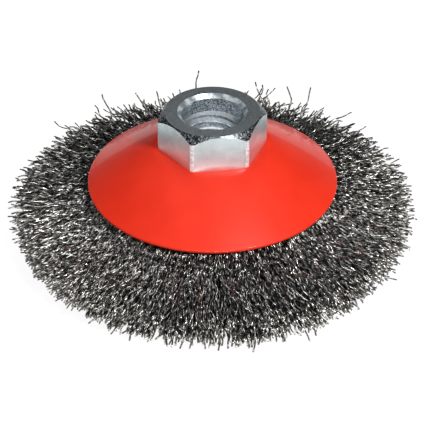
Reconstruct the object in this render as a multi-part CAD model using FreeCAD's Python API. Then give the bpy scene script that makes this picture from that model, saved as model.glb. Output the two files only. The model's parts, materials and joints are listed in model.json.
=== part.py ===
import FreeCAD, Part
import math
import os

# Conical wire brush for an angle grinder: a painted sheet-steel shell with a riveted M14 hub nut,
# and a fill of crimped steel wire that is folded over an anchor ring and clamped by an inner plate.
# Millimetres. +Z runs up the spindle axis, and the wire tips stand on the plane Z = 0.
# A section point is (radius, height).

# Wire fill, from its fold inside the shell to the trimmed tips
UPPER_TIP_RADIUS = 50.0
UPPER_TIP_HEIGHT = 9.7
LOWER_TIP_RADIUS = 46.5
FILL_THICKNESS = 6.0
HANK_COUNT = 24
HANK_GAP_DEGREES = 0.3

# Anchor ring, bent from round wire with its two ends butted
RING_RADIUS = 19.0
RING_WIRE_RADIUS = 1.25
RING_BUTT_DEGREES = 1.0

# Pressed shells, both from the same sheet
SHEET = 1.2
BEND_RADIUS = 0.8
SEAT_BEND_RADIUS = 3.0
EDGE_ROUND = 0.4
SHELL_ANGLE = math.radians(30.0)
SHELL_RIM_RADIUS = 31.0
SHELL_RIM_HEIGHT = 15.9
SHELL_TOP_HEIGHT = 25.65
PLATE_FLAT_RADIUS = 12.4
PLATE_THROAT_RADIUS = 15.6
PLATE_RIM_RADIUS = 26.0

# Hub nut
ACROSS_FLATS = 23.5  # nominally 24
CORNER_ROUND = 1.6
NUT_TOP_HEIGHT = 34.9
CHAMFER_CIRCLE_RADIUS = 11.5
CHAMFER_ANGLE = math.radians(45.0)
THREAD_MINOR_RADIUS = 5.92  # M14 x 2: the bore is the thread's minor diameter, left plain
RECESS_RADIUS = 7.5
RECESS_DEPTH = 4.5
RECESS_LEAD_IN = 0.95
RECESS_FLOOR_ANGLE = math.radians(30.0)
EXIT_CHAMFER = 0.7
COLLAR_RADIUS = 9.0
LIP_RADIUS = 10.8
LIP_HEIGHT = 3.0
LIP_TOP_ROUND = 0.6
LIP_BOTTOM_ROUND = 1.8

# Play between pieces that are clamped together, and how far a cutting shape runs past the metal
PLAY = 0.05
OVERRUN = 1.0


def height_under_shell(radius, depth):
    """Height of a line parallel to the shell's cone, at a square distance below its painted face."""
    rise = (SHELL_RIM_RADIUS - radius) * math.tan(SHELL_ANGLE)
    return SHELL_RIM_HEIGHT + rise - depth / math.cos(SHELL_ANGLE)


def section_wire(corners):
    """Closed wire through (radius, height, rounding) corners, with tangent arcs at the rounded ones."""
    edges = []
    starts = []
    ends = []
    mids = []
    for index, (radius, height, rounding) in enumerate(corners):
        here = FreeCAD.Vector(radius, 0, height)
        before = FreeCAD.Vector(corners[index - 1][0], 0, corners[index - 1][1])
        following = corners[(index + 1) % len(corners)]
        after = FreeCAD.Vector(following[0], 0, following[1])
        back = (before - here).normalize()
        ahead = (after - here).normalize()
        half_angle = back.getAngle(ahead) / 2
        reach = rounding / math.tan(half_angle)
        inward = (back + ahead).normalize()
        starts.append(here + back * reach)
        ends.append(here + ahead * reach)
        mids.append(here + inward * (rounding / math.sin(half_angle) - rounding))
    for index in range(len(corners)):
        if corners[index][2] > 0:
            edges.append(Part.Arc(starts[index], mids[index], ends[index]).toShape())
        following = starts[(index + 1) % len(corners)]
        if (following - ends[index]).Length > 1e-6:
            edges.append(Part.LineSegment(ends[index], following).toShape())
    return Part.Wire(edges)


def turned(corners, degrees=360.0):
    """Solid made by turning a rounded section about the spindle axis."""
    face = Part.Face(section_wire(corners))
    return face.revolve(FreeCAD.Vector(), FreeCAD.Vector(0, 0, 1), degrees)


def sheet_section(path, bend_radius):
    """Corners of a bent sheet whose upper side follows path, outwards from its centre hole."""
    steps = []
    for first, second in zip(path, path[1:]):
        length = math.hypot(second[0] - first[0], second[1] - first[1])
        steps.append(((second[0] - first[0]) / length, (second[1] - first[1]) / length))
    last = len(path) - 1
    upper = []
    lower = []
    for index, (radius, height) in enumerate(path):
        before = steps[max(index - 1, 0)]
        after = steps[min(index, last - 1)]
        side = (before[1] + after[1], -before[0] - after[0])
        scale = SHEET / (1 + before[0] * after[0] + before[1] * after[1])
        drops_away = before[0] * after[1] - before[1] * after[0] < 0
        outer_bend = bend_radius + SHEET
        if index == 0:
            rounding = (0.0, 0.0)
        elif index == last:
            rounding = (EDGE_ROUND, EDGE_ROUND)
        elif drops_away:
            rounding = (outer_bend, bend_radius)
        else:
            rounding = (bend_radius, outer_bend)
        upper.append((radius, height, rounding[0]))
        lower.append((radius + side[0] * scale, height + side[1] * scale, rounding[1]))
    return upper + lower[::-1]


def upper_shell():
    flat_radius = SHELL_RIM_RADIUS - (SHELL_TOP_HEIGHT - SHELL_RIM_HEIGHT) / math.tan(SHELL_ANGLE)
    path = [
        (COLLAR_RADIUS + PLAY, SHELL_TOP_HEIGHT),
        (flat_radius, SHELL_TOP_HEIGHT),
        (SHELL_RIM_RADIUS, SHELL_RIM_HEIGHT),
    ]
    return turned(sheet_section(path, SEAT_BEND_RADIUS))


def plate_depth():
    """Square distance from the shell's painted face to the upper face of the retaining plate."""
    return SHEET + FILL_THICKNESS + 2 * PLAY


def retaining_plate():
    top = SHELL_TOP_HEIGHT - SHEET
    path = [
        (COLLAR_RADIUS + PLAY, top),
        (PLATE_FLAT_RADIUS, top),
        (PLATE_THROAT_RADIUS, height_under_shell(PLATE_THROAT_RADIUS, plate_depth())),
        (PLATE_RIM_RADIUS, height_under_shell(PLATE_RIM_RADIUS, plate_depth())),
    ]
    return turned(sheet_section(path, BEND_RADIUS))


def ring_centre():
    depth = SHEET + PLAY + FILL_THICKNESS / 2
    return FreeCAD.Vector(RING_RADIUS, 0, height_under_shell(RING_RADIUS, depth))


def round_section(radius):
    circle = Part.Circle(ring_centre(), FreeCAD.Vector(0, 1, 0), radius)
    return Part.Wire([circle.toShape()])


def anchor_ring():
    face = Part.Face(round_section(RING_WIRE_RADIUS))
    return face.revolve(FreeCAD.Vector(), FreeCAD.Vector(0, 0, 1), 360.0 - RING_BUTT_DEGREES)


def hank_section():
    """A hank from its fold round the anchor ring, out between the shells, to the trimmed tips."""
    half = FILL_THICKNESS / 2
    centre = ring_centre()
    along = FreeCAD.Vector(math.cos(SHELL_ANGLE), 0, -math.sin(SHELL_ANGLE))
    across = FreeCAD.Vector(math.sin(SHELL_ANGLE), 0, math.cos(SHELL_ANGLE))
    fold_top = centre - along * half + across * half
    fold_bottom = centre - along * half - across * half
    shell_exit_radius = SHELL_RIM_RADIUS - SHEET * math.sin(SHELL_ANGLE)
    plate_exit_height = height_under_shell(PLATE_RIM_RADIUS, plate_depth() - PLAY)
    outline = section_wire([
        (fold_top.x, fold_top.z, half),
        (shell_exit_radius, height_under_shell(shell_exit_radius, SHEET + PLAY), 0.0),
        (UPPER_TIP_RADIUS, UPPER_TIP_HEIGHT, 0.0),
        (LOWER_TIP_RADIUS, 0.0, 0.0),
        (PLATE_RIM_RADIUS, plate_exit_height, 0.0),
        (fold_bottom.x, fold_bottom.z, half),
    ])
    tunnel = Part.Face(round_section(RING_WIRE_RADIUS + PLAY))
    return Part.Face(outline).cut(tunnel).Faces[0]


def wire_hank(index):
    pitch = 360.0 / HANK_COUNT
    wedge = hank_section().revolve(FreeCAD.Vector(), FreeCAD.Vector(0, 0, 1), pitch - HANK_GAP_DEGREES)
    start = index * pitch + HANK_GAP_DEGREES / 2
    wedge.rotate(FreeCAD.Vector(), FreeCAD.Vector(0, 0, 1), start)
    return wedge


def hexagon():
    """Body of the nut, chamfered at the top and rounded at its corners, with two flats square to Y."""
    corner_radius = ACROSS_FLATS / math.sqrt(3)
    corners = []
    for step in range(7):
        angle = math.radians(60 * step)
        corners.append(FreeCAD.Vector(
            corner_radius * math.cos(angle),
            corner_radius * math.sin(angle),
            SHELL_TOP_HEIGHT,
        ))
    height = NUT_TOP_HEIGHT - SHELL_TOP_HEIGHT
    prism = Part.Face(Part.makePolygon(corners)).extrude(FreeCAD.Vector(0, 0, height))
    upright = [edge for edge in prism.Edges if edge.BoundBox.ZLength > height / 2]
    prism = prism.makeFillet(CORNER_ROUND, upright)
    stock_radius = corner_radius + OVERRUN
    chamfer_drop = (stock_radius - CHAMFER_CIRCLE_RADIUS) * math.tan(CHAMFER_ANGLE)
    stock = turned([
        (0.0, SHELL_TOP_HEIGHT, 0.0),
        (stock_radius, SHELL_TOP_HEIGHT, 0.0),
        (stock_radius, NUT_TOP_HEIGHT - chamfer_drop, 0.0),
        (CHAMFER_CIRCLE_RADIUS, NUT_TOP_HEIGHT, 0.0),
        (0.0, NUT_TOP_HEIGHT, 0.0),
    ])
    return prism.common(stock)


def hub_nut():
    """Nut with a collar that passes through both sheets and is rolled over under the plate."""
    lip_top = SHELL_TOP_HEIGHT - 2 * SHEET
    lip_bottom = lip_top - LIP_HEIGHT
    core_radius = THREAD_MINOR_RADIUS - OVERRUN
    collar = turned([
        (core_radius, SHELL_TOP_HEIGHT + OVERRUN, 0.0),
        (COLLAR_RADIUS, SHELL_TOP_HEIGHT + OVERRUN, 0.0),
        (COLLAR_RADIUS, lip_top, 0.0),
        (LIP_RADIUS, lip_top, LIP_TOP_ROUND),
        (LIP_RADIUS, lip_bottom, LIP_BOTTOM_ROUND),
        (core_radius, lip_bottom, 0.0),
    ])
    recess_floor = NUT_TOP_HEIGHT - RECESS_DEPTH
    thread_top = recess_floor - (RECESS_RADIUS - THREAD_MINOR_RADIUS) * math.tan(RECESS_FLOOR_ANGLE)
    exit_radius = THREAD_MINOR_RADIUS + EXIT_CHAMFER
    mouth_radius = RECESS_RADIUS + RECESS_LEAD_IN
    bore = turned([
        (0.0, NUT_TOP_HEIGHT + OVERRUN, 0.0),
        (mouth_radius, NUT_TOP_HEIGHT + OVERRUN, 0.0),
        (mouth_radius, NUT_TOP_HEIGHT, 0.0),
        (RECESS_RADIUS, NUT_TOP_HEIGHT - RECESS_LEAD_IN, 0.0),
        (RECESS_RADIUS, recess_floor, 0.0),
        (THREAD_MINOR_RADIUS, thread_top, 0.0),
        (THREAD_MINOR_RADIUS, lip_bottom + EXIT_CHAMFER, 0.0),
        (exit_radius, lip_bottom, 0.0),
        (exit_radius, lip_bottom - OVERRUN, 0.0),
        (0.0, lip_bottom - OVERRUN, 0.0),
    ])
    return hexagon().fuse(collar).cut(bore).removeSplitter()


os.makedirs("parts", exist_ok=True)
pieces = {
    "hub_nut": hub_nut(),
    "upper_shell": upper_shell(),
    "retaining_plate": retaining_plate(),
    "anchor_ring": anchor_ring(),
}
for number in range(HANK_COUNT):
    pieces[f"wire_hank_{number + 1:02d}"] = wire_hank(number)
for name, shape in pieces.items():
    shape.exportStep(f"parts/{name}.step")
    print(f"{name}: solids {len(shape.Solids)}, valid {shape.isValid()}, volume {shape.Volume:.1f} mm3")
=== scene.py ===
import json
import math
import random

import bpy
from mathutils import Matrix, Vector


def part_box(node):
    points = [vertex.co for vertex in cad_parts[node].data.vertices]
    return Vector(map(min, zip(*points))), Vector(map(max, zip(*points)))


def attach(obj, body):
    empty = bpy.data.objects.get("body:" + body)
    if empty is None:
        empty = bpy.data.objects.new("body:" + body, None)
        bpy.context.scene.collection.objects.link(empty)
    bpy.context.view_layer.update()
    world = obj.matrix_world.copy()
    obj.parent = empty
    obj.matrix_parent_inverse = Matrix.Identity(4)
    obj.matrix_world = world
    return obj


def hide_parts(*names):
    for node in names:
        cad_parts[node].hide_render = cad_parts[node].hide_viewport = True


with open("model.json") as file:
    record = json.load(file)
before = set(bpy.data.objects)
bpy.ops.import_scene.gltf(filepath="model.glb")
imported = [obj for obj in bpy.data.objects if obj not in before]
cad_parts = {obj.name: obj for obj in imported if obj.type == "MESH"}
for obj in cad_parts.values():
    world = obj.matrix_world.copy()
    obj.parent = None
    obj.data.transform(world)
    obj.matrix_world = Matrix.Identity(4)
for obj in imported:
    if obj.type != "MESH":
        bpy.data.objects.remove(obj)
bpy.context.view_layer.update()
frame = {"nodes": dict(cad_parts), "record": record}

# ---- Anchor ring ----
# A ring of drawn steel wire, bent round and butted. Every bristle wire is folded over it, so that
# none can be pulled out from between the two sheets.
ring_low, ring_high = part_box("anchor_ring")
ring_wire_radius = (ring_high.z - ring_low.z) / 2
ring_radius = -ring_low.x - ring_wire_radius
ring_height = (ring_high.z + ring_low.z) / 2
ring_butt_gap = math.radians(1.0)


def finish_mesh(name, smooth_degrees=35):
    """Names the active piece, puts its place into its mesh, faces it outwards and smooths it."""
    piece = bpy.context.object
    piece.name = name
    piece.data.name = name
    bpy.ops.object.mode_set(mode="EDIT")
    bpy.ops.mesh.select_all(action="SELECT")
    bpy.ops.mesh.normals_make_consistent(inside=False)
    bpy.ops.object.mode_set(mode="OBJECT")
    bpy.ops.object.transform_apply(location=True, rotation=True, scale=True)
    bpy.ops.object.shade_smooth_by_angle(angle=math.radians(smooth_degrees))
    return piece


def new_material(name):
    """A node material, with its shader and an Object texture coordinate to build on."""
    material = bpy.data.materials.new(name)
    material.use_nodes = True
    nodes = material.node_tree.nodes
    place = nodes.new("ShaderNodeTexCoord")
    return material, material.node_tree, nodes["Principled BSDF"], place.outputs["Object"]


def mottle(tree, place, scale, detail=3.0, distortion=0.0):
    """Noise over the piece's own space, as many marks to the metre as scale says."""
    noise = tree.nodes.new("ShaderNodeTexNoise")
    noise.inputs["Scale"].default_value = scale
    noise.inputs["Detail"].default_value = detail
    noise.inputs["Distortion"].default_value = distortion
    tree.links.new(place, noise.inputs["Vector"])
    return noise.outputs["Fac"]


def shades(tree, factor, stops, socket):
    """Runs a factor through a ramp of (position, colour) stops, into a shader socket."""
    ramp = tree.nodes.new("ShaderNodeValToRGB")
    while len(ramp.color_ramp.elements) < len(stops):
        ramp.color_ramp.elements.new(0.5)
    for element, (position, colour) in zip(ramp.color_ramp.elements, stops):
        element.position = position
        element.color = (*colour, 1.0)
    tree.links.new(factor, ramp.inputs["Fac"])
    tree.links.new(ramp.outputs["Color"], socket)


def levels(tree, factor, low, high, socket):
    """Spreads the middle of a noise, 0.3 to 0.7, between two values, into a shader socket."""
    spread = tree.nodes.new("ShaderNodeMapRange")
    spread.inputs["From Min"].default_value = 0.3
    spread.inputs["From Max"].default_value = 0.7
    spread.inputs["To Min"].default_value = low
    spread.inputs["To Max"].default_value = high
    tree.links.new(factor, spread.inputs["Value"])
    tree.links.new(spread.outputs["Result"], socket)


def relief(tree, factor, depth, strength, shader):
    """Raises the surface by a factor, as deep as given in metres."""
    bump = tree.nodes.new("ShaderNodeBump")
    bump.inputs["Distance"].default_value = depth
    bump.inputs["Strength"].default_value = strength
    tree.links.new(factor, bump.inputs["Height"])
    tree.links.new(bump.outputs["Normal"], shader.inputs["Normal"])


def drawn_steel():
    """Bare drawn wire, with patches that are darker and smoother."""
    material, tree, steel, place = new_material("drawn_steel")
    steel.inputs["Metallic"].default_value = 1.0
    patches = mottle(tree, place, 400)
    stops = [(0.3, (0.22, 0.21, 0.20)), (0.7, (0.42, 0.41, 0.40))]
    shades(tree, patches, stops, steel.inputs["Base Color"])
    levels(tree, patches, 0.28, 0.45, steel.inputs["Roughness"])
    return material


bpy.ops.object.select_all(action="DESELECT")
bpy.ops.mesh.primitive_circle_add(
    vertices=20,
    radius=ring_wire_radius,
    location=(ring_radius, 0, ring_height),
    rotation=(math.radians(90), 0, 0),
)
bpy.ops.object.mode_set(mode="EDIT")
bpy.ops.mesh.spin(steps=120, angle=math.tau - ring_butt_gap, center=(0, 0, 0), axis=(0, 0, 1))
bpy.ops.mesh.select_all(action="SELECT")
bpy.ops.mesh.fill_holes(sides=0)
bpy.ops.object.mode_set(mode="OBJECT")
anchor_ring = finish_mesh("anchor_wire_ring")
anchor_ring.data.materials.append(drawn_steel())
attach(anchor_ring, "root")
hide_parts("anchor_ring")

# ---- Bristle wires, in hanks ----
# Hard-drawn steel wire 0.4 mm thick, crimped so that the wires prop each other up. Each is folded
# over the anchor ring, so it has one leg in the upper half of the fill and one in the lower half.
hank_names = sorted(node for node in frame["nodes"] if node.startswith("wire_hank_"))
wire_radius = 0.0002
wires_per_hank = 96
crimp_length = 0.0044
crimp_height = 0.00046
shell_slope = math.radians(30)
along = Vector((math.cos(shell_slope), 0, -math.sin(shell_slope)))
across = Vector((math.sin(shell_slope), 0, math.cos(shell_slope)))
fold_centre = Vector((ring_radius, 0, ring_height))
rim_reach = 0.0132
upper_tip = Vector((0.0490, 0, 0.0098))
lower_tip = Vector((0.0460, 0, 0.0006))
points_per_crimp = 5.0
hidden_reach = 0.0070
fold_inner = 0.00162
fold_spread = 0.00118
rim_spread = 0.0023
rim_scatter = 0.0007
tip_scatter_out = 0.0009
tip_scatter_across = 0.0006
drift_scatter = 0.032
drift_growth = 1.5
bow_scatter = 0.0007
lift_scatter = 0.0005
phase_scatter = 0.8
bend_nearest = 0.0020
bend_farthest = 0.0075
clamped_swing = 0.70
freed_swing = 0.30
stray_share = 0.10
stray_rise_least = 0.0005
stray_rise_range = 0.0074
stray_shortening = 0.0020
stray_drift_scatter = 0.05
stray_bow_scatter = 0.0018
wide_tufts = 23
narrow_tufts = 61
wide_drift = 0.011
narrow_drift = 0.009
phase_waves = ((3.0, 17, 5.0), (2.5, 43, -3.0))
chance = random.Random(14)


def clump_drift(angle, layer):
    """Slow drift of neighbouring wires to one side, in radians, which gathers them into tufts.

    The bare numbers only shift the waves, so that tufts aren't evenly spaced or alike in all layers.
    """
    wide = math.sin(angle * wide_tufts + 2.1 * math.sin(angle * 5 + layer * 2.0))
    narrow = math.sin(angle * narrow_tufts + layer * 4.7 + 1.3)
    return wide_drift * wide + narrow_drift * narrow


def nested_phase(angle, layer):
    """Where neighbouring wires are in their crimp, because crimps that touch lie in each other."""
    return sum(size * math.sin(angle * count + layer * shift) for size, count, shift in phase_waves)


def leg_points(angle, layer, stray):
    """One leg of a wire, from the ring out to its tip. layer runs from -1, lowest, to 1, highest.

    The stretch next to the ring is hidden between the sheets and is drawn straight.
    """
    start = fold_centre + across * math.copysign(fold_inner + fold_spread * abs(layer), layer)
    reach = rim_reach + chance.gauss(0, rim_scatter)
    rim = fold_centre + along * reach + across * (layer * rim_spread)
    tip = lower_tip.lerp(upper_tip, (layer + 1) / 2)
    out = (tip - rim).normalized()
    tip += out * chance.gauss(0, tip_scatter_out)
    tip += across * chance.gauss(0, tip_scatter_across)
    drift = clump_drift(angle, layer) + chance.gauss(0, drift_scatter)
    bow = chance.gauss(0, bow_scatter)
    lift = chance.gauss(0, lift_scatter)
    if stray:
        tip.z += stray_rise_least + stray_rise_range * chance.random() ** 2
        tip -= out * chance.uniform(0.0, stray_shortening)
        drift += chance.gauss(0, stray_drift_scatter)
        bow = chance.gauss(0, stray_bow_scatter)
    control = rim + along * chance.uniform(bend_nearest, bend_farthest)
    length = (rim - start).length + (tip - rim).length
    steps = round(length / crimp_length * points_per_crimp)
    share = (rim - start).length / length
    phase = nested_phase(angle, layer) + chance.gauss(0, phase_scatter)
    lean = chance.uniform(0, math.tau)
    wave = crimp_length * chance.uniform(0.85, 1.2)
    height = crimp_height * chance.uniform(0.7, 1.35)
    points = [Vector((start.x * math.cos(angle), start.x * math.sin(angle), start.z))]
    for step in range(1, steps + 1):
        t = step / steps
        if t * length < hidden_reach:
            continue
        if t < share:
            centre = start.lerp(rim, t / share)
            free = 0.0
        else:
            free = (t - share) / (1 - share)
            first = rim.lerp(control, free)
            centre = first.lerp(control.lerp(tip, free), free)
        room = clamped_swing + freed_swing * min(1.0, free * 4)
        swing = height * room * math.sin(math.tau * t * length / wave + phase)
        up = swing * math.sin(lean) + lift * free * free
        side = swing * math.cos(lean) + bow * math.sin(math.pi * free)
        place = centre + across * up
        turn = angle + drift * free ** drift_growth + side / place.x
        place = Vector((place.x * math.cos(turn), place.x * math.sin(turn), max(place.z, wire_radius)))
        points.append(place)
    return points


def fold_points(angle, layer):
    """The half turn that a wire takes round the ring, from its upper leg to its lower one."""
    reach = fold_inner + fold_spread * layer
    points = []
    for quarter in (-45, 0, 45):
        swing = math.radians(quarter)
        place = fold_centre - along * (reach * math.cos(swing)) - across * (reach * math.sin(swing))
        points.append(Vector((place.x * math.cos(angle), place.x * math.sin(angle), place.z)))
    return points


def bristle_steel():
    """Drawn wire, with painted shade that darkens it towards the rim, where it comes out between the
    sheets.
    """
    material, tree, steel, place = new_material("bristle_steel")
    steel.inputs["Metallic"].default_value = 1.0
    steel.inputs["Roughness"].default_value = 0.28
    # Painted shade: the wire's colour is scaled down to 0.42 within 32 mm of the axis and rises to full
    # at 40 mm, standing in for the shade under the shell's rim.
    reach = tree.nodes.new("ShaderNodeVectorMath")
    reach.operation = "LENGTH"
    tree.links.new(place, reach.inputs[0])
    rim_shade = tree.nodes.new("ShaderNodeMapRange")
    rim_shade.inputs["From Min"].default_value = 0.032
    rim_shade.inputs["From Max"].default_value = 0.040
    rim_shade.inputs["To Min"].default_value = 0.42
    rim_shade.inputs["To Max"].default_value = 1.0
    tree.links.new(reach.outputs["Value"], rim_shade.inputs["Value"])
    rim_shaded = tree.nodes.new("ShaderNodeMix")
    rim_shaded.data_type = "RGBA"
    rim_shaded.blend_type = "MULTIPLY"
    rim_shaded.inputs["Factor"].default_value = 1.0
    colour_in, shade_in = (socket for socket in rim_shaded.inputs if socket.type == "RGBA")
    colour_out = next(socket for socket in rim_shaded.outputs if socket.type == "RGBA")
    stops = [
        (0.40, (0.055, 0.052, 0.048)),
        (0.5, (0.19, 0.183, 0.172)),
        (0.62, (0.62, 0.595, 0.55)),
    ]
    shades(tree, mottle(tree, place, 900, detail=2.0), stops, colour_in)
    tree.links.new(rim_shade.outputs["Result"], shade_in)
    tree.links.new(colour_out, steel.inputs["Base Color"])
    return material


bristle_material = bristle_steel()
for number, hank_name in enumerate(hank_names):
    curve = bpy.data.curves.new("bristles", "CURVE")
    curve.dimensions = "3D"
    curve.bevel_depth = wire_radius
    curve.bevel_resolution = 0
    curve.use_fill_caps = True
    pitch = math.tau / len(hank_names)
    for wire in range(wires_per_hank):
        angle = pitch * (number + (wire + chance.random()) / wires_per_hank)
        layer = math.sqrt(chance.random()) if wire % 2 else chance.random()
        stray = chance.random() < stray_share
        upper = leg_points(angle, layer, stray)
        lower = leg_points(angle, -layer, False)
        route = upper[::-1] + fold_points(angle, layer) + lower
        spline = curve.splines.new("POLY")
        spline.points.add(len(route) - 1)
        for point, place in zip(spline.points, route):
            point.co = (*place, 1.0)
    hank = bpy.data.objects.new(f"bristles_{number + 1:02d}", curve)
    bpy.context.collection.objects.link(hank)
    bpy.ops.object.select_all(action="DESELECT")
    hank.select_set(True)
    bpy.context.view_layer.objects.active = hank
    bpy.ops.object.convert(target="MESH")
    bpy.ops.object.mode_set(mode="EDIT")
    bpy.ops.mesh.select_all(action="SELECT")
    # The caps have points of their own, which are welded to the wires' ends.
    bpy.ops.mesh.remove_doubles(threshold=0.0000001)
    bpy.ops.object.mode_set(mode="OBJECT")
    bpy.ops.object.shade_smooth()
    hank = bpy.context.object
    hank.data.materials.append(bristle_material)
    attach(hank, "root")
    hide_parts(hank_name)

# ---- Retaining plate ----
# The inner clamping sheet, pressed from zinc-plated steel. It sits flat against the shell round the
# nut's collar, drops steeply past the fold of the wires, and then runs outwards beneath them.
sheet = 0.0012
collar_hole = 0.00905
fill_thickness = 0.006
play = 0.00005
shell_rim_height = 0.0159
shell_rim_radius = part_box("upper_shell")[1].x
plate_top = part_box("retaining_plate")[1].z
plate_rim_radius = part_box("retaining_plate")[1].x
plate_flat_radius = 0.0124
plate_throat_radius = 0.0156
plate_bend = 0.0010
plate_rim_round = 0.00035


def plate_height(radius):
    """Height of the plate's upper side, which is parallel to the shell's, beneath the fill."""
    shell_height = shell_rim_height + (shell_rim_radius - radius) * math.tan(shell_slope)
    return shell_height - (sheet + fill_thickness + 2 * play) / math.cos(shell_slope)


plate_path = [
    (collar_hole, plate_top),
    (plate_flat_radius, plate_top),
    (plate_throat_radius, plate_height(plate_throat_radius)),
    (plate_rim_radius, plate_height(plate_rim_radius)),
]


def press_sheet(name, path, bend, thickness, rim_round):
    """Draws a hoop out through (radius, height) points, bends it there and gives it thickness below."""
    bpy.ops.object.select_all(action="DESELECT")
    bpy.ops.mesh.primitive_circle_add(vertices=180, radius=path[0][0], location=(0, 0, path[0][1]))
    bpy.ops.object.mode_set(mode="EDIT")
    bpy.ops.mesh.select_all(action="SELECT")
    for (radius, height), (next_radius, next_height) in zip(path, path[1:]):
        bpy.ops.mesh.extrude_region_move(TRANSFORM_OT_translate={"value": (0, 0, next_height - height)})
        growth = next_radius / radius
        bpy.ops.transform.resize(value=(growth, growth, 1), center_override=(0, 0, next_height))
    bpy.ops.mesh.select_all(action="SELECT")
    bpy.ops.mesh.normals_make_consistent(inside=False)
    bpy.ops.object.mode_set(mode="OBJECT")
    piece = bpy.context.object
    if sum(face.normal.z for face in piece.data.polygons) < 0:
        bpy.ops.object.mode_set(mode="EDIT")
        bpy.ops.mesh.flip_normals()
        bpy.ops.object.mode_set(mode="OBJECT")
    bends = piece.modifiers.new("bends", "BEVEL")
    bends.width = bend
    bends.segments = 5
    bends.angle_limit = math.radians(15)
    wall = piece.modifiers.new("wall", "SOLIDIFY")
    wall.thickness = thickness
    wall.offset = -1
    wall.use_even_offset = True
    edges = piece.modifiers.new("edges", "BEVEL")
    edges.width = rim_round
    edges.segments = 3
    edges.angle_limit = math.radians(60)
    for modifier in ("bends", "wall", "edges"):
        bpy.ops.object.modifier_apply(modifier=modifier)
    return finish_mesh(name)


def zinc_sheet():
    """Zinc plating on sheet, clouded, a little uneven and duller in patches."""
    material, tree, zinc, place = new_material("zinc_sheet")
    zinc.inputs["Metallic"].default_value = 1.0
    cloud = mottle(tree, place, 220, detail=4.0)
    stops = [(0.3, (0.42, 0.44, 0.45)), (0.7, (0.62, 0.64, 0.65))]
    shades(tree, cloud, stops, zinc.inputs["Base Color"])
    levels(tree, mottle(tree, place, 900), 0.25, 0.42, zinc.inputs["Roughness"])
    relief(tree, mottle(tree, place, 2600), 0.00002, 0.3, zinc)
    return material


plate = press_sheet("inner_clamp_plate", plate_path, plate_bend, sheet, plate_rim_round)
plate.data.materials.append(zinc_sheet())
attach(plate, "root")
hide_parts("retaining_plate")

# ---- Upper shell ----
# The outer sheet, a shallow cone with a flat seat for the nut. It is pressed steel with a thick
# gloss powder coat in red, rounded over at the rim, with the faint orange peel of such a coat.
shell_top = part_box("upper_shell")[1].z
shell_flat_radius = shell_rim_radius - (shell_top - shell_rim_height) / math.tan(shell_slope)
shell_bend = 0.0011
shell_rim_round = 0.0004
shell_path = [
    (collar_hole, shell_top),
    (shell_flat_radius, shell_top),
    (shell_rim_radius, shell_rim_height),
]


def red_powder_coat():
    """Red powder coat, glossy on top, with a faint orange peel."""
    material, tree, paint, place = new_material("red_powder_coat")
    paint.inputs["Roughness"].default_value = 0.42
    paint.inputs["Specular IOR Level"].default_value = 0.15
    paint.inputs["Coat Weight"].default_value = 0.22
    paint.inputs["Coat Roughness"].default_value = 0.06
    stops = [(0.3, (0.58, 0.021, 0.007)), (0.7, (0.63, 0.027, 0.010))]
    shades(tree, mottle(tree, place, 120), stops, paint.inputs["Base Color"])
    relief(tree, mottle(tree, place, 500, detail=1.0), 0.00003, 0.10, paint)
    return material


shell = press_sheet("painted_shell", shell_path, shell_bend, sheet, shell_rim_round)
shell.data.materials.append(red_powder_coat())
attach(shell, "root")
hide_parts("upper_shell")

# ---- Hub nut ----
# Turned from hexagonal bar and zinc-plated. A collar below passes through both sheets and is rolled
# over under the plate, which rivets the brush together. The bore has a smooth recess above M14 x 2.
nut_low, nut_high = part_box("hub_nut")
across_flats = 0.0235
corner_radius = across_flats / math.sqrt(3)
corner_round = 0.0016
chamfer_circle = 0.0115
chamfer_angle = math.radians(45)
flat_angle = 60
sharp_from = math.radians(28)
collar_radius = 0.009
lip_radius = 0.0108
lip_round = 0.0018
lip_round_ends = 0.00024
lip_edge = 0.0004
recess_radius = 0.0075
recess_depth = 0.0045
recess_lead_in = 0.00095
recess_floor_slope = math.radians(30)
floor_overlap = 0.0006
exit_cone_foot = 0.0017
exit_cone_tip = 0.0003
tap_below = 0.0005
tap_above = 0.0003
overshoot = 0.001
thread_mount = frame["record"]["mounts"][0]
minor_radius = thread_mount["dims"]["r_mm"] / 1000
major_radius = 0.007
pitch_length = 0.002
facets = 144


def turn_solid(name, profile):
    """Turns a bar to (radius, height) points, from its lower end to its upper end."""
    bpy.ops.object.select_all(action="DESELECT")
    radius, height = profile[0]
    bpy.ops.mesh.primitive_circle_add(
        vertices=facets, radius=radius, fill_type="NGON", location=(0, 0, height)
    )
    bpy.ops.object.mode_set(mode="EDIT")
    bpy.ops.mesh.select_all(action="SELECT")
    for next_radius, next_height in profile[1:]:
        bpy.ops.mesh.extrude_region_move(TRANSFORM_OT_translate={"value": (0, 0, next_height - height)})
        growth = next_radius / radius
        bpy.ops.transform.resize(value=(growth, growth, 1), center_override=(0, 0, next_height))
        radius, height = next_radius, next_height
    bpy.ops.object.mode_set(mode="OBJECT")
    return finish_mesh(name)


def cut(piece, tool, operation):
    """Joins, cuts or trims a piece by a tool, which is used up."""
    bpy.ops.object.select_all(action="DESELECT")
    piece.select_set(True)
    bpy.context.view_layer.objects.active = piece
    step = piece.modifiers.new("cut", "BOOLEAN")
    step.operation = operation
    step.solver = "EXACT"
    step.object = tool
    bpy.ops.object.modifier_apply(modifier="cut")
    bpy.data.objects.remove(tool)


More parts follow.
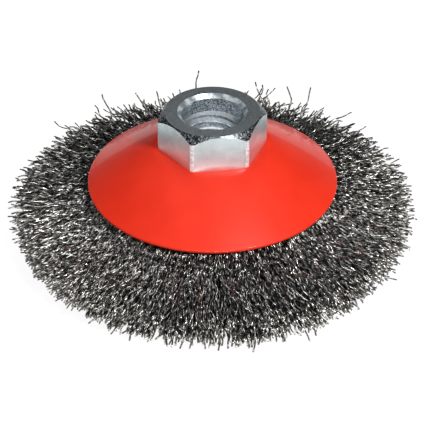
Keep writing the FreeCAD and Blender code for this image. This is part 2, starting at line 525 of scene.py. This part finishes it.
def screw_tap(low, high):
    """A threading tap: one pitch of the M14 x 2 outline, screwed up the axis and cut square."""
    bpy.ops.object.select_all(action="DESELECT")
    bpy.ops.mesh.primitive_plane_add(size=0.001, location=(minor_radius, 0, low - 2 * pitch_length))
    bpy.ops.object.mode_set(mode="EDIT")
    bpy.ops.mesh.select_all(action="SELECT")
    bpy.ops.mesh.merge(type="CENTER")
    depth = major_radius - minor_radius
    crest = pitch_length / 4
    root = pitch_length / 8
    flank = (pitch_length - crest - root) / 2
    for radial, axial in ((0, crest), (depth, flank), (0, root), (-depth, flank)):
        bpy.ops.mesh.extrude_region_move(TRANSFORM_OT_translate={"value": (radial, 0, axial)})
    bpy.ops.object.mode_set(mode="OBJECT")
    bpy.ops.object.transform_apply(location=True, rotation=True, scale=True)
    tap = bpy.context.object
    turns = tap.modifiers.new("turns", "SCREW")
    turns.screw_offset = pitch_length
    turns.iterations = math.ceil((high - low) / pitch_length) + 4
    turns.steps = 96
    turns.render_steps = 96
    bpy.ops.object.modifier_apply(modifier="turns")
    bpy.ops.object.mode_set(mode="EDIT")
    bpy.ops.mesh.select_all(action="SELECT")
    bpy.ops.mesh.remove_doubles(threshold=0.000001)
    for height, side in ((low, -1), (high, 1)):
        bpy.ops.mesh.select_all(action="SELECT")
        bpy.ops.mesh.bisect(
            plane_co=(0, 0, height), plane_no=(0, 0, side), use_fill=True, clear_outer=True
        )
    bpy.ops.object.mode_set(mode="OBJECT")
    return finish_mesh("tap")


nut_top = nut_high.z
bar_bottom = shell_top
lip_top = shell_top - 2 * sheet
lip_bottom = nut_low.z
recess_floor = nut_top - recess_depth
bar_length = nut_top - bar_bottom
bpy.ops.object.select_all(action="DESELECT")
bpy.ops.mesh.primitive_cylinder_add(
    vertices=6,
    radius=corner_radius,
    depth=bar_length,
    location=(0, 0, (nut_top + bar_bottom) / 2),
    rotation=(0, 0, math.radians(flat_angle / 2)),
)
bpy.ops.object.mode_set(mode="EDIT")
bpy.ops.mesh.select_mode(type="EDGE")
bpy.ops.mesh.select_all(action="DESELECT")
bpy.ops.object.mode_set(mode="OBJECT")
bar = bpy.context.object.data
for edge in bar.edges:
    foot, head = (bar.vertices[index].co for index in edge.vertices)
    edge.select = abs(head.z - foot.z) > bar_length / 2
bpy.ops.object.mode_set(mode="EDIT")
bpy.ops.mesh.bevel(offset=corner_round * math.tan(math.radians(flat_angle / 2)), segments=5)
bpy.ops.mesh.select_mode(type="VERT")
bpy.ops.object.mode_set(mode="OBJECT")
nut = finish_mesh("hex_hub_nut")
cut(nut, turn_solid("chamfer_stock", [
    (chamfer_circle + (bar_length + overshoot) / math.tan(chamfer_angle), bar_bottom - overshoot),
    (chamfer_circle, nut_top),
]), "INTERSECT")
rounding = nut.modifiers.new("rounding", "BEVEL")
rounding.width = 0.00012
rounding.segments = 2
rounding.angle_limit = sharp_from
bpy.ops.object.modifier_apply(modifier="rounding")
cut(nut, turn_solid("collar", [
    (lip_radius - lip_round, lip_bottom),
    (lip_radius - lip_round / 2, lip_bottom + lip_round_ends),
    (lip_radius - lip_round_ends, lip_bottom + lip_round / 2),
    (lip_radius, lip_bottom + lip_round),
    (lip_radius, lip_top - lip_edge),
    (lip_radius - lip_edge, lip_top),
    (collar_radius, lip_top),
    (collar_radius, bar_bottom + overshoot),
]), "UNION")
floor_width = recess_radius - minor_radius + floor_overlap
cut(nut, turn_solid("recess", [
    (minor_radius - floor_overlap, recess_floor - floor_width * math.tan(recess_floor_slope)),
    (recess_radius, recess_floor),
    (recess_radius, nut_top - recess_lead_in),
    (recess_radius + recess_lead_in, nut_top),
    (recess_radius + recess_lead_in, nut_top + overshoot),
]), "DIFFERENCE")
cut(nut, turn_solid("exit_chamfer", [
    (minor_radius + exit_cone_foot, lip_bottom - overshoot),
    (minor_radius - exit_cone_tip, lip_bottom + overshoot),
]), "DIFFERENCE")
cut(nut, screw_tap(lip_bottom - tap_below, recess_floor + tap_above), "DIFFERENCE")
bpy.ops.object.shade_smooth_by_angle(angle=sharp_from)
even = nut.modifiers.new("even", "WEIGHTED_NORMAL")
even.keep_sharp = True
bpy.ops.object.modifier_apply(modifier="even")


def bright_zinc():
    """Zinc plating on the flats, bright and faintly clouded."""
    material, tree, zinc, place = new_material("bright_zinc")
    zinc.inputs["Metallic"].default_value = 0.88
    zinc.inputs["Roughness"].default_value = 0.24
    cloud = mottle(tree, place, 420, detail=4.0)
    stops = [(0.3, (0.65, 0.77, 0.80)), (0.7, (0.80, 0.94, 0.97))]
    shades(tree, cloud, stops, zinc.inputs["Base Color"])
    return material


def turned_zinc():
    """Satin plating on the turned ring at the top."""
    material, tree, zinc, place = new_material("turned_zinc")
    zinc.inputs["Metallic"].default_value = 1.0
    grain = mottle(tree, place, 1800, detail=2.0)
    stops = [(0.3, (0.22, 0.24, 0.25)), (0.7, (0.31, 0.335, 0.35))]
    shades(tree, grain, stops, zinc.inputs["Base Color"])
    levels(tree, grain, 0.30, 0.40, zinc.inputs["Roughness"])
    return material


def rough_zinc():
    """Coarse, dark plating on the rough-turned chamfer."""
    material, tree, zinc, place = new_material("rough_zinc")
    zinc.inputs["Metallic"].default_value = 1.0
    grain = mottle(tree, place, 2600, detail=3.0, distortion=0.5)
    stops = [
        (0.42, (0.03, 0.034, 0.042)),
        (0.56, (0.15, 0.165, 0.18)),
        (0.70, (0.78, 0.82, 0.84)),
    ]
    shades(tree, grain, stops, zinc.inputs["Base Color"])
    levels(tree, grain, 0.25, 0.45, zinc.inputs["Roughness"])
    relief(tree, grain, 0.00006, 0.6, zinc)
    return material


def machined_zinc():
    """Bright plating on the crests of the thread and the floor of the recess."""
    material, tree, zinc, place = new_material("machined_zinc")
    zinc.inputs["Metallic"].default_value = 0.9
    zinc.inputs["Roughness"].default_value = 0.16
    grain = mottle(tree, place, 1100, detail=3.0)
    stops = [(0.36, (0.72, 0.77, 0.80)), (0.62, (0.91, 0.96, 0.98))]
    shades(tree, grain, stops, zinc.inputs["Base Color"])
    return material


def shaded_bore_zinc():
    """Speckled plating, darker than the rest, on the bored wall and down in the thread: painted shade
    in the recess and in the thread's grooves.
    """
    material, tree, zinc, place = new_material("shaded_bore_zinc")
    zinc.inputs["Metallic"].default_value = 0.95
    zinc.inputs["Roughness"].default_value = 0.24
    grain = mottle(tree, place, 2600, detail=2.0)
    stops = [(0.38, (0.15, 0.168, 0.187)), (0.62, (0.66, 0.715, 0.755))]
    shades(tree, grain, stops, zinc.inputs["Base Color"])
    return material


def worn_zinc():
    """Plating that is worn in patches, on the lead-in of the recess."""
    material, tree, zinc, place = new_material("worn_zinc")
    zinc.inputs["Metallic"].default_value = 0.6
    zinc.inputs["Roughness"].default_value = 0.30
    patches = mottle(tree, place, 520, detail=2.0)
    stops = [(0.42, (0.28, 0.31, 0.335)), (0.58, (0.74, 0.80, 0.83))]
    shades(tree, patches, stops, zinc.inputs["Base Color"])
    return material


def rubbed_zinc():
    """Plating that is rubbed bright on the rounded corners of the hexagon."""
    material, tree, zinc, place = new_material("rubbed_zinc")
    zinc.inputs["Metallic"].default_value = 0.7
    grain = mottle(tree, place, 1400, detail=2.0)
    stops = [(0.36, (0.55, 0.60, 0.63)), (0.6, (0.92, 0.96, 0.98))]
    shades(tree, grain, stops, zinc.inputs["Base Color"])
    levels(tree, grain, 0.28, 0.40, zinc.inputs["Roughness"])
    return material


nut_finishes = (
    bright_zinc,
    turned_zinc,
    rough_zinc,
    machined_zinc,
    rubbed_zinc,
    shaded_bore_zinc,
    worn_zinc,
)
slack = 0.0001
upright = 0.1
overhung = 0.3
leaning = 0.5
nearly_level = 0.9
level = 0.95
rubbed_from = 8
for finish in nut_finishes:
    nut.data.materials.append(finish())
for face in nut.data.polygons:
    distance = math.hypot(face.center.x, face.center.y)
    tilt = face.normal.z
    heading = math.degrees(math.atan2(face.normal.y, face.normal.x))
    off_flat = (heading + flat_angle / 2) % flat_angle
    at_corner = rubbed_from < off_flat < flat_angle - rubbed_from
    # Painted shade: the recess wall gets the darker bore plating.
    if abs(distance - recess_radius) < slack and abs(tilt) < upright:
        finish = shaded_bore_zinc
    elif recess_radius < distance < recess_radius + recess_lead_in and leaning < tilt < nearly_level:
        finish = worn_zinc
    # Painted shade in the thread's grooves: the flanks and roots get the darker bore plating, and only
    # the crests keep the bright plating.
    elif minor_radius < distance < major_radius + slack and tilt < overhung:
        finish = machined_zinc if distance < minor_radius + slack else shaded_bore_zinc
    elif distance < recess_radius + recess_lead_in and tilt < level:
        finish = machined_zinc
    elif abs(tilt) < leaning and at_corner and face.center.z > bar_bottom:
        finish = rubbed_zinc
    elif tilt > level:
        finish = turned_zinc
    elif tilt > leaning and distance > chamfer_circle - 2 * slack:
        finish = rough_zinc
    else:
        finish = bright_zinc
    face.material_index = nut_finishes.index(finish)
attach(nut, "root")
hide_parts("hub_nut")

# ---- Stage ----
# A white table top that gives off most of its own light, so that it shows almost no shadow, four
# soft lights round it, and a long lens that looks down from the front.
bpy.context.scene.view_settings.view_transform = "Standard"
bpy.ops.object.select_all(action="DESELECT")
bpy.ops.mesh.primitive_plane_add(size=6, location=(0, 0, 0))
table = bpy.context.object
table.name = "table_top"
white = bpy.data.materials.new("white_table")
white.use_nodes = True
surface = white.node_tree.nodes["Principled BSDF"]
surface.inputs["Base Color"].default_value = (0.10, 0.10, 0.10, 1)
surface.inputs["Roughness"].default_value = 0.9
surface.inputs["Specular IOR Level"].default_value = 0.1
surface.inputs["Emission Color"].default_value = (1.0, 1.0, 1.0, 1)
surface.inputs["Emission Strength"].default_value = 0.93
table.data.materials.append(white)

world = bpy.data.worlds.new("studio")
world.use_nodes = True
sky = world.node_tree
view_direction = sky.nodes.new("ShaderNodeTexCoord").outputs["Generated"]
upward = sky.nodes.new("ShaderNodeSeparateXYZ")
sky.links.new(view_direction, upward.inputs["Vector"])
sky_stops = [
    (0.0, (0.10, 0.11, 0.11)),
    (0.25, (0.03, 0.03, 0.03)),
    (0.6, (0.06, 0.07, 0.07)),
    (1.0, (0.4, 0.43, 0.45)),
]
shades(sky, upward.outputs["Z"], sky_stops, sky.nodes["Background"].inputs["Color"])
bpy.context.scene.world = world


def soft_light(name, place, size, watts):
    """A rectangular lamp that faces the object."""
    lamp = bpy.data.lights.new(name, "AREA")
    lamp.shape = "RECTANGLE"
    lamp.size, lamp.size_y = size
    lamp.energy = watts
    light = bpy.data.objects.new(name, lamp)
    light.location = place
    light.rotation_euler = (-Vector(place)).to_track_quat("-Z", "Y").to_euler()
    bpy.context.collection.objects.link(light)


soft_light("key", (0.35, -0.61, 0.82), (0.12, 0.12), 11.3)
soft_light("fill", (-0.35, -0.75, 0.60), (0.3, 0.3), 1.3)
soft_light("back", (0.0, 0.45, 0.89), (0.25, 0.25), 2.6)
soft_light("low_front", (-0.06, -1.15, 0.14), (0.5, 0.2), 6.6)

look_at = Vector((0, 0, 0.0051))
camera_turn = math.radians(-8.6)
camera_rise = math.radians(35.45)
camera_distance = 0.372
back = Vector((
    math.sin(camera_turn) * math.cos(camera_rise),
    -math.cos(camera_turn) * math.cos(camera_rise),
    math.sin(camera_rise),
))
lens = bpy.data.cameras.new("camera")
lens.lens = 125.5
camera = bpy.data.objects.new("camera", lens)
camera.location = look_at + back * camera_distance
camera.rotation_euler = back.to_track_quat("Z", "Y").to_euler()
bpy.context.collection.objects.link(camera)
bpy.context.scene.camera = camera
